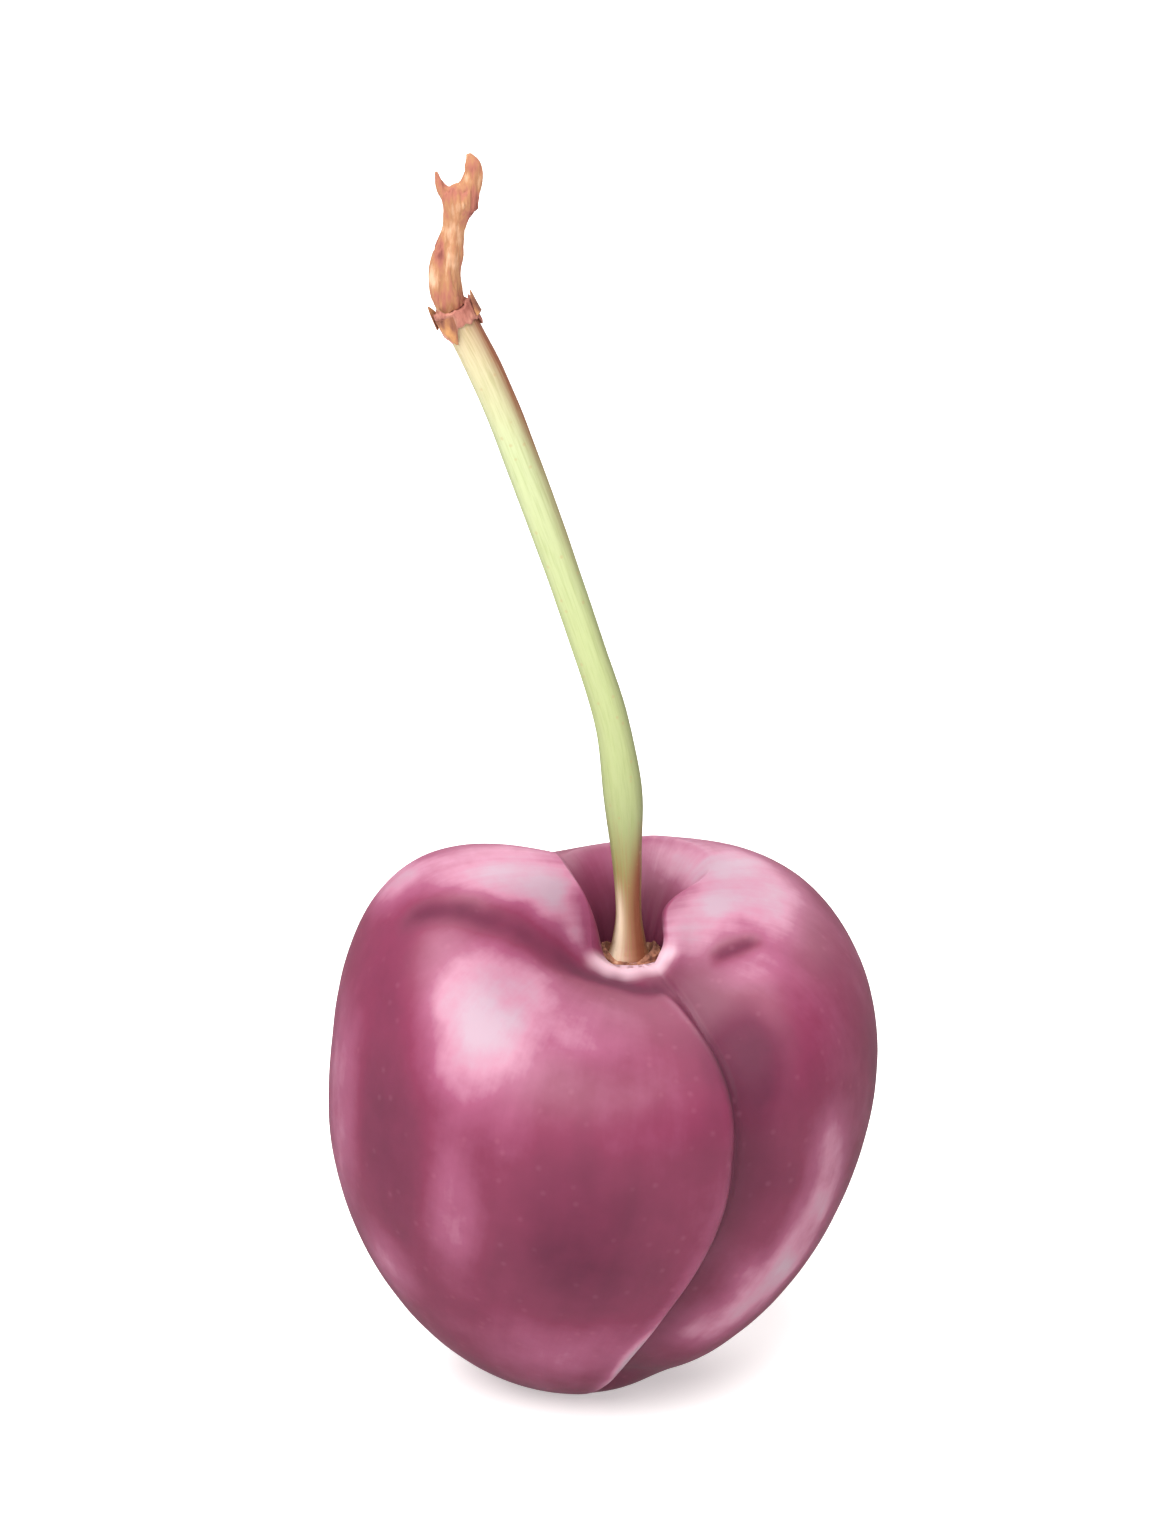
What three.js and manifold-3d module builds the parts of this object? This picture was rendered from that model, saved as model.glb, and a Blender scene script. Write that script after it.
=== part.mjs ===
// A ripe sweet cherry with its stem, standing on the small flat spot at its blossom end.
// Millimetres. The origin is the middle of that flat spot, +Z points up, and the stem leans towards -X.
// Left is -X, right is +X, the front is -Y and the back is +Y.

import * as THREE from 'three';
import { LoftGeometry } from 'three/addons/geometries/LoftGeometry.js';
import Module from 'manifold-3d';
import { mergeVertices } from 'three/addons/utils/BufferGeometryUtils.js';

const wasm = await Module();
wasm.setup();

const { cos, sin, PI, exp, floor, hypot, min, max } = Math;
const radians = THREE.MathUtils.degToRad;
const mix = THREE.MathUtils.lerp;
const ease = THREE.MathUtils.smoothstep;

// ---------------------------------------------------------------- driving dimensions

const body = {
  lobeRadius: 13.3, // across the two lobes
  sutureRadius: 12.3, // from the middle to the suture, and to the back
  restRadius: 3.3, // the flat spot it stands on
  equatorHeight: 15.3,
  flatness: 4.4, // how far the underside runs out before it turns up
  lift: 1.25, // how much it rises over that stretch
  fullness: 7.6, // how far below the equator the belly stays wide
  shoulder: 0.65, // how full the shoulders are, from the equator up to the rim
  crown: 0.35, // how far in from the equator the shoulders bend over
  slope: 0.14, // the left shoulder is this much fuller, and the right one less
  swell: 0.07, // slow unevenness of the whole skin
  heart: 13, // height of the point that the groove sinks towards
};

const pit = {
  seatRadius: 1.62, // the flat bottom that the stem stands on
  seatHeight: 21.1,
  offset: 2.4, // how far the pit stands to +X of the flat spot
  // The rim, as directions in degrees from +X by the back. Both rises count from the seat,
  // and the shoulder bends towards the height of the dome before it comes down to the rim.
  rim: [
    { turn: 0, radius: 1.85, rise: 2.2, dome: 3.8 }, // the far lobe stands close to the stem
    { turn: 12, radius: 2.6, rise: 2.85, dome: 4.1 },
    { turn: 27, radius: 4.8, rise: 3.5, dome: 4.0 },
    { turn: 45, radius: 5.3, rise: 4.15, dome: 3.4 },
    { turn: 70, radius: 5.0, rise: 4.3, dome: 2.4 },
    { turn: 95, radius: 4.6, rise: 3.9, dome: 1.6 },
    { turn: 120, radius: 4.2, rise: 3.85, dome: 1.8 },
    { turn: 148, radius: 3.7, rise: 4.1, dome: 3.8 },
    { turn: 178, radius: 3.2, rise: 5.2, dome: 6.6 }, // the near lobe is the highest
    { turn: 205, radius: 2.6, rise: 4.4, dome: 6.4 },
    { turn: 223, radius: 2.1, rise: 2.7, dome: 4.7 },
    { turn: 238, radius: 2.65, rise: 0.9, dome: 2.6 },
    { turn: 255, radius: 2.6, rise: 0.4, dome: 1.0 },
    { turn: 280, radius: 2.45, rise: 0.2, dome: 0 }, // the low lip in front of the stem
    { turn: 305, radius: 2.5, rise: 0.2, dome: 0.2 },
    { turn: 325, radius: 2.4, rise: 0.65, dome: 1.9 },
    { turn: 345, radius: 1.95, rise: 1.5, dome: 3.3 },
  ],
  soften: 5, // degrees each way that the rim is smoothed over
  wallTop: 0.35, // how far in from the rim its wall turns down
  topDrop: 0.6, // the share of its height that the wall may lose on the way there
  wallFoot: 0.4, // how far up the wall is steep
  flare: 0.08, // how much wider the wall's foot is than the seat
};

const groove = {
  azimuth: radians(-57), // the suture's direction in plan, over the upper half
  swing: radians(-15), // how much further round it has turned at the flat spot
  depth: 1.1,
  rimShare: 0.08, // the share of the depth that is left at the pit's rim
  steepSide: 0.6, // half-width towards the near lobe
  gentleSide: 2.8, // half-width towards the far lobe
};

const collar = {
  bore: 0.88, // radius round the end of the stem
  radius: 1.02,
  floor: 0.12, // thickness over the end of the stem
};

const seat = new THREE.Vector3(pit.offset, 0, pit.seatHeight);

// ---------------------------------------------------------------- fruit

// A curve through b and c that leaves and arrives with the given slopes.
function hermite(b, c, leave, arrive, w) {
  return b + leave * w + (3 * (c - b) - 2 * leave - arrive) * w * w + (2 * (b - c) + leave + arrive) * w ** 3;
}

// One value of the rim in a direction in degrees. It doesn't overshoot between two of the given ones.
function rimValue(key, degrees) {
  const count = pit.rim.length;
  const turn = degrees - 360 * floor(degrees / 360);
  const i = pit.rim.findLastIndex((place) => place.turn <= turn);
  const [a, b, c, d] = [-1, 0, 1, 2].map((step) => {
    const lap = floor((i + step) / count);
    const place = pit.rim[i + step - lap * count];
    return { turn: place.turn + 360 * lap, value: place[key] };
  });
  const slope = (from, to) => (to.value - from.value) / (to.turn - from.turn);
  const even = (before, after) => (before * after > 0 ? (2 * before * after) / (before + after) : 0);
  const leave = even(slope(a, b), slope(b, c));
  const arrive = even(slope(b, c), slope(c, d));
  const span = c.turn - b.turn;
  return hermite(b.value, c.value, leave * span, arrive * span, (turn - b.turn) / span);
}

function rimAt(key, plan) {
  const degrees = THREE.MathUtils.radToDeg(plan);
  const beside = rimValue(key, degrees - pit.soften) + rimValue(key, degrees + pit.soften);
  return (beside + 2 * rimValue(key, degrees)) / 4;
}

// One cubic Bezier point.
function bezier(a, b, c, d, t) {
  const s = 1 - t;
  return a * s ** 3 + 3 * b * s * s * t + 3 * c * s * t * t + d * t ** 3;
}

// The fruit's section at an angle from the suture, as the distance from its axis and the height.
// A path value of 0 to 1 is the belly, 1 to 2 the shoulder and 2 to 3 the wall of the pit.
function section(angle, path) {
  const roundness = (body.lobeRadius - body.sutureRadius) / 2;
  const equator = (body.lobeRadius + body.sutureRadius) / 2 - roundness * cos(2 * angle);
  const plan = groove.azimuth + angle;
  const rim = rimAt('radius', plan);
  const crownRadius = mix(equator, rim, body.crown);
  const crest = pit.seatHeight + rimAt('rise', plan);
  const dome = pit.seatHeight + rimAt('dome', plan);
  if (path <= 1) {
    const r = bezier(body.restRadius, body.restRadius + body.flatness, equator, equator, path);
    const z = bezier(0, body.lift, body.equatorHeight - body.fullness, body.equatorHeight, path);
    return [r, z];
  }
  if (path <= 2) {
    const full = body.shoulder - body.slope * cos(plan);
    const z = mix(body.equatorHeight, dome, full);
    return [
      bezier(equator, equator, crownRadius, rim, path - 1),
      bezier(body.equatorHeight, z, dome, crest, path - 1),
    ];
  }
  // The shoulder's slope at the rim goes on over it.
  const wall = crest - pit.seatHeight;
  const slope = (dome - crest) / (crownRadius - rim);
  const drop = min(slope * pit.wallTop * (rim - pit.seatRadius), pit.topDrop * wall);
  const topRadius = mix(rim, pit.seatRadius, pit.wallTop);
  const footHeight = pit.seatHeight + pit.wallFoot * wall;
  return [
    bezier(rim, topRadius, pit.seatRadius + pit.flare, pit.seatRadius, path - 2),
    bezier(crest, crest - drop, footHeight, pit.seatHeight, path - 2),
  ];
}

// How deep the groove is along the section: none on the flat spot and none on the seat.
function grooveDepth(path) {
  const belly = mix(0.9, 1, ease(path, 0.2, 1.6)) * ease(path, 0, 0.16);
  return groove.depth * belly * mix(1, groove.rimShare, ease(path, 1.6, 2)) * (1 - ease(path, 2.2, 3));
}

function fruitPoint(angle, path) {
  const [r, z] = section(angle, path);
  const aside = r * sin(angle); // distance from the plane of the suture
  const width = aside < 0 ? groove.steepSide : groove.gentleSide;
  const front = ease(cos(angle), -0.2, 0.4);
  const sink = grooveDepth(path) * front * exp(-((aside / width) ** 2));
  const reach = hypot(r, z - body.heart);
  const waves = sin(3 * angle + 1.1 + 2 * path) + sin(2 * angle - 3 * path);
  const swell = body.swell * waves * sin((path * PI) / 3);
  const pull = (sink - swell) / reach;
  const azimuth = groove.azimuth + groove.swing * (1 - ease(path, 0.3, 0.95)) + angle;
  const centre = pit.offset * sin((path * PI) / 6);
  return new THREE.Vector3(
    centre + r * (1 - pull) * cos(azimuth),
    r * (1 - pull) * sin(azimuth),
    z + (body.heart - z) * pull,
  );
}

function makeFruit() {
  const around = 80;
  const rows = [14, 13, 8]; // along the belly, the shoulder and the pit's wall
  const crowding = 0.7; // draws the columns towards the suture
  const sections = [];
  rows.forEach((count, stretch) => {
    for (let j = stretch ? 1 : 0; j <= count; j++) {
      const ring = [];
      for (let i = 0; i < around; i++) {
        const even = (i / around) * 2 * PI;
        ring.push(fruitPoint(even - crowding * sin(even), stretch + j / count));
      }
      sections.push(ring);
    }
  });
  sections.push(sections[0].map(() => seat)); // closes the seat at its middle
  return new LoftGeometry(sections, { capStart: true });
}

// ---------------------------------------------------------------- stem

const up = new THREE.Vector3(0, 0, 1);

// Polar coordinates round a point of a stem: angle 0 is on its right and a quarter turn is at its back.
function polarFrame(centre, along) {
  const across = new THREE.Vector3(0, 1, 0).cross(along).normalize();
  const back = new THREE.Vector3().crossVectors(along, across);
  return (radius, angle, height) =>
    centre
      .clone()
      .addScaledVector(across, radius * cos(angle))
      .addScaledVector(back, radius * sin(angle))
      .addScaledVector(along, height);
}

function makeRing(sides, point) {
  return Array.from({ length: sides }, (_, i) => point((i / sides) * 2 * PI));
}

function lineThrough(stations) {
  return new THREE.CatmullRomCurve3(stations.map(([x, y, z]) => new THREE.Vector3(x, y, z).add(seat)));
}

// A round or ridged twig through its stations, with its first ring square to a given direction.
function makeTwig(stations, start, steps, sides, ridge = () => 1) {
  const line = lineThrough(stations);
  const girth = new THREE.SplineCurve(stations.map(([, , , radius], i) => new THREE.Vector2(i, radius)));
  const count = steps * (stations.length - 1);
  const rings = [];
  for (let j = 0; j <= count; j++) {
    const t = j / count;
    const place = polarFrame(line.getPoint(t), j ? line.getTangent(t) : start);
    rings.push(makeRing(sides, (angle) => place(girth.getPoint(t).y * ridge(angle, t), angle, 0)));
  }
  return new LoftGeometry(rings, { capStart: true, capEnd: true });
}

// Stations are [x, y, z, radius] from the middle of the seat. The stem bends to the left and a little back.
const stemStations = [
  [0, 0, 0, 1.0],
  [0, 0, 0.6, 0.84],
  [-0.02, 0.02, 2.2, 0.64],
  [-0.12, 0.12, 5, 0.74],
  [-0.3, 0.32, 8, 0.96],
  [-0.8, 0.7, 11.4, 0.84],
  [-2.3, 1.3, 16.3, 0.8],
  [-4.5, 1.8, 22.8, 0.86],
  [-6.45, 2.1, 28, 0.86],
  [-8.15, 2.3, 31.5, 0.84],
];
const stemLine = lineThrough(stemStations);

function makeStem() {
  return makeTwig(stemStations, up, 5, 16);
}

// The ring of dry cork round the stem's foot, widest and highest on its left and right.
function makeFootRing() {
  const place = polarFrame(seat, up);
  const top = (angle) => 0.36 + 0.26 * cos(2 * angle) + 0.04 * sin(7 * angle + 1);
  const inner = 1.06;
  const outer = (angle) => 1.4 + 0.16 * cos(2 * angle);
  const rings = [
    makeRing(28, (angle) => place(inner, angle, 0)),
    makeRing(28, (angle) => place(outer(angle), angle, 0)),
    makeRing(28, (angle) => place(outer(angle) - 0.04, angle, 0.6 * top(angle))),
    makeRing(28, (angle) => place(inner + 0.12, angle, top(angle))),
  ];
  return new LoftGeometry([...rings, rings[0]]);
}

// ---------------------------------------------------------------- broken end of the stem

// Polar coordinates round the stem near its broken end. Height counts along its line, from the end.
function atEnd(radius, angle, height) {
  const share = 1 + min(height, 0) / stemLine.getLength();
  const place = polarFrame(stemLine.getPointAt(share), stemLine.getTangentAt(share));
  return place(radius, angle, max(height, 0));
}

// The dry sleeve that caps the end of the stem, with a ragged hem and a ragged rim.
function makeCollar() {
  const { bore, radius, floor } = collar;
  const gap = 0.02; // between the cap and the end of the stem
  const hem = (angle) => -0.8 - 0.3 * sin(2 * angle + 0.5) - 0.1 * sin(5 * angle);
  const rim = (angle) => 0.3 + 0.12 * sin(3 * angle + 2) + 0.06 * sin(8 * angle);
  const ring = (r, height) => makeRing(32, (angle) => atEnd(r, angle, height(angle)));
  return new LoftGeometry([
    ring(0, () => gap),
    ring(bore, () => gap),
    ring(bore, hem),
    ring(bore + 0.05, (angle) => hem(angle) - 0.06),
    ring(radius - 0.02, (angle) => 0.9 * hem(angle)),
    ring(radius, () => -0.2),
    ring(radius - 0.02, (angle) => 0.7 * rim(angle)),
    ring(radius - 0.08, rim),
    ring(radius - 0.16, (angle) => 0.8 * rim(angle)),
    ring(radius - 0.2, () => floor),
    ring(0, () => floor),
  ]);
}

// A dry bud scale: a thin pointed blade against the collar, from its foot to its tip.
function makeScale({ turn, foot, tip, width, flare }) {
  const steps = 8;
  const span = 6; // facets across the blade
  const rings = [];
  for (let j = 0; j <= steps; j++) {
    const t = j / steps;
    const half = (0.5 * width * (1 - t * t) + 0.06) / collar.radius;
    const inner = collar.radius + 0.03 + flare * t * t;
    const outer = inner + mix(0.16, 0.05, t);
    const height = mix(foot, tip, t);
    const arc = (r) =>
      Array.from({ length: span + 1 }, (_, i) => atEnd(r, turn + half * ((2 * i) / span - 1), height));
    rings.push([...arc(outer), ...arc(inner).reverse()]);
  }
  if (tip < foot) rings.reverse();
  return new LoftGeometry(rings, { capStart: true, capEnd: true });
}

// Stations of the strip of spur bark that came off with the stem, and of its short left prong.
const barkStations = [
  [-8.5, 2.34, 32.3, 0.78],
  [-8.62, 2.36, 33.4, 0.76],
  [-8.4, 2.38, 34.5, 0.72],
  [-8.2, 2.4, 35.5, 0.56],
  [-8.04, 2.4, 36.3, 0.68],
  [-7.82, 2.4, 37, 0.88],
  [-7.44, 2.4, 37.6, 0.58],
  [-7.24, 2.4, 38.3, 0.46],
  [-7.3, 2.4, 38.8, 0.38],
  [-7.48, 2.4, 39.25, 0.14],
];
const prongStations = [
  [-8.04, 2.4, 36.5, 0.5],
  [-8.42, 2.4, 37.1, 0.42],
  [-8.8, 2.38, 37.7, 0.24],
  [-8.98, 2.36, 38.4, 0.1],
];

// Turns a closed geometry into a solid, and back.
function toSolid(geometry) {
  const bare = new THREE.BufferGeometry();
  bare.setAttribute('position', geometry.attributes.position);
  bare.setIndex(geometry.index);
  const merged = mergeVertices(bare, 1e-5);
  const vertProperties = new Float32Array(merged.attributes.position.array);
  const triVerts = new Uint32Array(merged.index.array);
  return new wasm.Manifold(new wasm.Mesh({ numProp: 3, vertProperties, triVerts }));
}

function toGeometry(solid) {
  const { vertProperties, triVerts } = solid.getMesh();
  const geometry = new THREE.BufferGeometry();
  geometry.setAttribute('position', new THREE.BufferAttribute(vertProperties, 3));
  geometry.setIndex(new THREE.BufferAttribute(triVerts, 1));
  geometry.computeVertexNormals();
  return geometry;
}

function makeBark() {
  const along = stemLine.getTangentAt(1);
  const root = atEnd(0, 0, collar.floor).sub(seat);
  const flat = (angle, t) => 0.87 + 0.13 * cos(2 * angle) + 0.05 * sin(5 * angle + 4 * t);
  const strip = makeTwig([[...root, 0.72], ...barkStations], along, 3, 16, flat);
  const prong = makeTwig(prongStations, new THREE.Vector3(-0.5, 0, 0.86), 3, 10);
  return toGeometry(toSolid(strip).add(toSolid(prong)));
}

// ---------------------------------------------------------------- the whole cherry

const cherry = new THREE.Group();

function add(name, geometry, color, roughness) {
  const mesh = new THREE.Mesh(geometry, new THREE.MeshStandardMaterial({ color, roughness, metalness: 0 }));
  mesh.name = name;
  cherry.add(mesh);
}

add('fruit', makeFruit(), 0x8c3355, 0.25);
add('stem', makeStem(), 0xc9d29a, 0.5);
add('stem_foot_ring', makeFootRing(), 0x7a4a2e, 0.8);
add('stem_collar', makeCollar(), 0x9a6248, 0.8);
add('spur_bark', makeBark(), 0xcf9a72, 0.75);

const scales = [
  { turn: radians(-118), foot: 0.1, tip: -1.3, width: 0.85, flare: -0.1 },
  { turn: radians(-12), foot: -0.5, tip: 0.7, width: 0.6, flare: 0.1 },
  { turn: radians(160), foot: -0.5, tip: 0.6, width: 0.7, flare: 0.08 },
];
scales.forEach((scale, i) => add(`bud_scale_${i + 1}`, makeScale(scale), 0x6f4234, 0.85));

export default cherry;
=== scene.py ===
from functools import lru_cache
from math import sin, cos, pi, exp, hypot, radians, degrees

import bpy
import bmesh
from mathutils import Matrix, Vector, noise


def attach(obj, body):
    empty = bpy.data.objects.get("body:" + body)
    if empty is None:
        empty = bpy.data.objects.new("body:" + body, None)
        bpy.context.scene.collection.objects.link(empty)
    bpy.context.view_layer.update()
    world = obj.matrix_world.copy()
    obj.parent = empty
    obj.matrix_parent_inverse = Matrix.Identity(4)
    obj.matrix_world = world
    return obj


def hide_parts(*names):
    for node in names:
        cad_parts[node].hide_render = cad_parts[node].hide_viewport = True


mm = 0.001

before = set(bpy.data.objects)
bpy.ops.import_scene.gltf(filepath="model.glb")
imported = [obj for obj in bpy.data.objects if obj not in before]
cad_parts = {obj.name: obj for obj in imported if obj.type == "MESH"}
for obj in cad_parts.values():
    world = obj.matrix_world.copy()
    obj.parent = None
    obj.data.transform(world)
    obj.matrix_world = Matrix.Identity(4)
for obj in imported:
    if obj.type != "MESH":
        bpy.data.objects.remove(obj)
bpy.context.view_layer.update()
print("frame loaded:", ", ".join(sorted(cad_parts)))


# Small helpers

def mix(a, b, t):
    return a + (b - a) * t


def ease(x, low, high):
    t = min(max((x - low) / (high - low), 0), 1)
    return t * t * (3 - 2 * t)


def bell(x, width):
    return exp(-(x / width) ** 2)


def ridge(x, height, middle, width):
    return height * bell(x - middle, width)


def uneven(at, height, grain):
    return height * noise.noise(at / grain)


def bezier(a, b, c, d, t):
    s = 1 - t
    return a * s ** 3 + 3 * b * s * s * t + 3 * c * s * t * t + d * t ** 3


def hexColor(code):  # sRGB hex to linear
    parts = [int(code[i:i + 2], 16) / 255 for i in (1, 3, 5)]
    return [c / 12.92 if c <= 0.04045 else ((c + 0.055) / 1.055) ** 2.4 for c in parts] + [1]


def perMetre(size):  # the texture scale that makes a pattern this many millimetres large
    return 1 / (size * mm)


def addNode(material, kind, settings=None, links=None):
    node = material.node_tree.nodes.new(kind)
    for key, value in (settings or {}).items():
        if key == "stops":  # a colour ramp's stops, as position and hex colour
            while len(node.color_ramp.elements) < len(value):
                node.color_ramp.elements.new(1)
            for element, (position, color) in zip(node.color_ramp.elements, value):
                element.position = position
                element.color = hexColor(color)
        elif isinstance(key, int) or key in node.inputs:
            node.inputs[key].default_value = value
        else:
            setattr(node, key, value)
    for key, source in (links or {}).items():
        material.node_tree.links.new(source, node.inputs[key])
    return node


def startMaterial(name, finish):
    material = bpy.data.materials.new(name)
    material.use_nodes = True
    shader = material.node_tree.nodes["Principled BSDF"]
    for key, value in finish.items():
        shader.inputs[key].default_value = value
    return material, shader


# A grid rolled up lengthwise. place(angle, along) gives a point in millimetres, and along runs from 0 to 1.
def rollGrid(columns, rows, place):
    bm = bmesh.new()
    bm.loops.layers.uv.new("wrap")
    angleLayer = bm.verts.layers.float.new("angle")
    alongLayer = bm.verts.layers.float.new("along")
    bmesh.ops.create_grid(bm, x_segments=columns, y_segments=rows, size=0.5, calc_uvs=True)
    for v in bm.verts:
        v[angleLayer], v[alongLayer] = (v.co.x + 0.5) * 2 * pi, v.co.y + 0.5
        v.co = place(v[angleLayer], v[alongLayer])
    bmesh.ops.remove_doubles(bm, verts=bm.verts, dist=1e-4)
    bmesh.ops.holes_fill(bm, edges=[e for e in bm.edges if e.is_boundary], sides=0)
    bmesh.ops.recalc_face_normals(bm, faces=bm.faces)
    bm.normal_update()
    return bm, angleLayer, alongLayer


def finishPiece(bm, name, material, slot, *nodes):
    bmesh.ops.scale(bm, vec=(mm, mm, mm), verts=bm.verts)
    mesh = bpy.data.meshes.new(name)
    bm.to_mesh(mesh)
    bm.free()
    mesh.polygons.foreach_set("use_smooth", [True] * len(mesh.polygons))
    mesh.materials.append(material)
    piece = bpy.data.objects.new(name, mesh)
    bpy.context.scene.collection.objects.link(piece)
    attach(piece, "root")
    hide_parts(*nodes)
    print(name, "made with", len(mesh.polygons), "faces")


# The fruit: skin, flesh and stone grew as one body, so this is one closed skin.
fruit = {
    "lobeRadius": 13.3, "sutureRadius": 12.3, "restRadius": 3.3, "equatorHeight": 15.3,
    "flatness": 4.4, "lift": 1.25, "fullness": 7.6, "shoulder": 0.65, "crown": 0.35,
    "slope": 0.14, "swell": 0.07, "heart": 13,
    "seatRadius": 1.62, "seatHeight": 21.1, "pitOffset": 2.4,
    # round the pit: the turn from the right by the back, the rim's radius, its rise and the dome's rise
    "rim": [(0, 1.85, 2.2, 3.8), (12, 2.6, 2.85, 4.1), (27, 4.8, 3.5, 4.0), (45, 5.3, 4.15, 3.4),
            (70, 5.0, 4.3, 2.4), (95, 4.6, 3.9, 1.6), (120, 4.2, 3.85, 1.8), (148, 3.7, 4.1, 3.8),
            (178, 3.2, 5.2, 6.6), (205, 2.6, 4.4, 6.4), (223, 2.1, 2.7, 4.7), (238, 2.65, 0.9, 2.6),
            (255, 2.6, 0.4, 1.0), (280, 2.45, 0.2, 0), (305, 2.5, 0.2, 0.2), (325, 2.4, 0.65, 1.9),
            (345, 1.95, 1.5, 3.3)],
    "soften": 5, "wallTop": 0.35, "topDrop": 0.6, "wallFoot": 0.4, "flare": 0.08,
    "grooveAzimuth": -57, "grooveSwing": -15, "swingEnds": (0.3, 0.95),
    "grooveDepth": 1.1, "footShare": 0.9, "rimShare": 0.08, "steepSide": 0.6, "gentleSide": 2.8,
    # the spans over which the groove comes and goes: by the cosine of the turn from it, and by the way up
    "grooveFacing": (-0.2, 0.4), "grooveStart": (0, 0.16), "grooveDeepens": (0.2, 1.6),
    "grooveShallows": (1.6, 2), "grooveEnds": (2.2, 3),
    "columns": 320, "rows": [12, 74, 76, 44, 3],  # flat spot, belly, shoulder, pit wall, seat
    "crowding": 0.7,  # draws the columns towards the groove
}

# The skin's low relief. A ridge is its height, the place of its middle and its half-width.
relief = {
    "seam": (-0.1, 0.12, 0.16),  # the fine line at the bottom of the groove
    "edge": (0.07, -0.8, 0.4),  # the near lobe's edge stands up along it
    "facing": (0, 0.4), "start": (0.05, 0.3), "end": (1.93, 1.99),  # the spans of both
    "lip": (0.24, -0.08, 0.38), "lipUneven": (0.35, 1.1),  # the swollen front of the rim
    "lipRise": (0.55, 1.3),  # the rim has a lip where it rises less than this over the seat
    "pleats": 0.03, "pleatCount": 17, "pleatStart": (2.35, 2.85), "pleatEnd": (2.97, 3),  # in the pit's wall
    "slow": (0.05, 5), "fine": (0.018, 1.6),  # unevenness: its height and its grain
    "free": (0.02, 0.3), "held": (2.8, 3),  # it fades at the flat spot and at the seat
    "sharp": (1, 2.02, 0.09),  # and at the rim's thin edge
    "inset": 0.03,  # keeps the fine skin inside the CAD one
    "scar": 0.28, "scarEdge": (1.15, 0.2),  # the dimple of the blossom scar
}

# Shallow folds in the skin, seen from above: the points that each runs through, its depth and half-width
folds = [
    {"line": [(-8.8, -3.6), (-6.2, -4.3), (-4.3, -4.6), (-1.6, -4.4), (0, -3.8), (0.9, -3.6), (2.1, -3.5),
              (3.3, -3.9), (4.6, -4.1)],
     "depth": 0.2, "width": 0.8, "start": (-0.1, 1.8), "end": (-0.1, 1.0)},
    {"line": [(6.0, -2.6), (7.4, -2.3), (9.0, -1.8)],
     "depth": 0.22, "width": 0.45, "start": (-0.1, 0.8), "end": (-0.1, 1.2)},
]
lowestFold = 19.1  # they all lie above this height

# How the skin's colour follows its form, with painted shade and painted highlights
tone = {
    "steepSide": 0.7, "gentleSide": 2.0, "start": (0.02, 0.2), "end": (1.93, 1.99),  # the groove's painted shade
    "edge": (-0.9, 0.5), "edgePale": (0.9, 0.25), "edgeSpan": (0.3, 0.8),  # the near lobe's pale edge, partly a real paler suture line and partly a painted highlight on its ridge
    "foldShade": 4.8,  # painted shade in the folds: how much darker the skin is painted for each millimetre of a fold's depth
    # painted shade inside the pit, a painted highlight on the lip, and the colour of the dry blossom scar
    "pit": (2.25, 2.85), "lip": (-0.9, -0.2), "lipUneven": (0.22, 0.8), "scar": (1.4, 0.5),
    "mottle": (0.3, 2.6), "fineMottle": (0.1, 0.9), "zoneEdge": 1.5,  # the edges of the painted light zones below
}

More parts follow.
